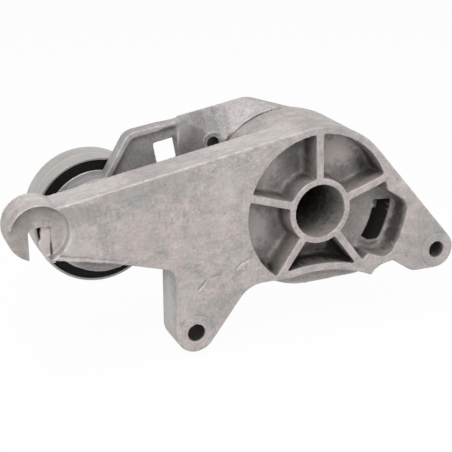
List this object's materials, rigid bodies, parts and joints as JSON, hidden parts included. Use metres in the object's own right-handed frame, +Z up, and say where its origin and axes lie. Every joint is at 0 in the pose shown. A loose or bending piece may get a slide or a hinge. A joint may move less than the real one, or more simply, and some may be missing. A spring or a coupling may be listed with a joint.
{
  "type": "belt tensioner",
  "caption": "Die-cast belt tensioner: a bracket with a spoked spring housing, mounting ears and a hook, and a sprung arm carrying a flat idler pulley on a ball bearing.",
  "frame": {"origin": "centre of the hub's bore on the bracket's mounting plane", "axes": "+Y along the arm's pivot axis from the mounting face towards the pulley side, +X from the hub away from the hook, +Z up"},
  "size_m": [0.2763, 0.0725, 0.1346],
  "materials": {
    "bracket_cast": "as-cast satin aluminium, light grey with faint warm mottling",
    "arm_cast": "as-cast satin aluminium, light grey",
    "pulley_metal": "smooth turned metal",
    "shield_black": "matt black",
    "spring_steel": "oiled dark spring steel",
    "seat_plastic": "matt black",
    "bush_plastic": "matt tan bearing plastic",
    "friction_plastic": "matt dark grey",
    "plated_steel": "dull zinc plate",
    "damper_plastic": "matt dark grey",
    "band_steel": "plain rolled steel",
    "ring_steel": "ground bearing steel",
    "ball_steel": "polished bearing steel",
    "cage_plastic": "matt brown",
    "seal_rubber": "matt black",
    "cap_plastic": "matt black"
  },
  "bodies": {
    "bracket": {"bracket_casting": "bracket_cast", "spring_seat": "seat_plastic", "thrust_plate": "plated_steel", "torsion_spring": "spring_steel"},
    "arm": {"arm_casting": "arm_cast", "pivot_bush": "bush_plastic", "friction_washer": "friction_plastic", "damping_ring": "damper_plastic", "damper_band": "band_steel", "hub_dust_cap": "plated_steel", "pulley_dust_shield": "shield_black", "pulley_sleeve": "plated_steel", "pulley_bolt": "plated_steel", "bearing_inner_ring": "ring_steel"},
    "pulley": {"pulley_shell": "pulley_metal", "bearing_outer_ring": "ring_steel", "bearing_seal_front": "seal_rubber", "bearing_seal_rear": "seal_rubber", "pulley_dust_cap": "cap_plastic"},
    "cage": {"bearing_cage": "cage_plastic", "bearing_balls": "ball_steel"}
  },
  "joints": [
    {"name": "arm_pivot", "type": "hinge", "parent": "bracket", "child": "arm", "pos_m": [0, 0, 0], "axis": [0, 1, 0], "range_deg": [0, 20.5], "stiffness_Nm_per_rad": 20, "springref_deg": -48.7, "deforming": ["torsion_spring"]},
    {"name": "pulley_spin", "type": "hinge", "parent": "arm", "child": "pulley", "pos_m": [-0.1215, 0, -0.0035], "axis": [0, 1, 0], "continuous": true},
    {"name": "cage_spin", "type": "hinge", "parent": "arm", "child": "cage", "pos_m": [-0.1215, 0, -0.0035], "axis": [0, 1, 0], "continuous": true}
  ],
  "couplings": [
    {"joint": "cage_spin", "follows": "pulley_spin", "ratio": 0.6184}
  ]
}
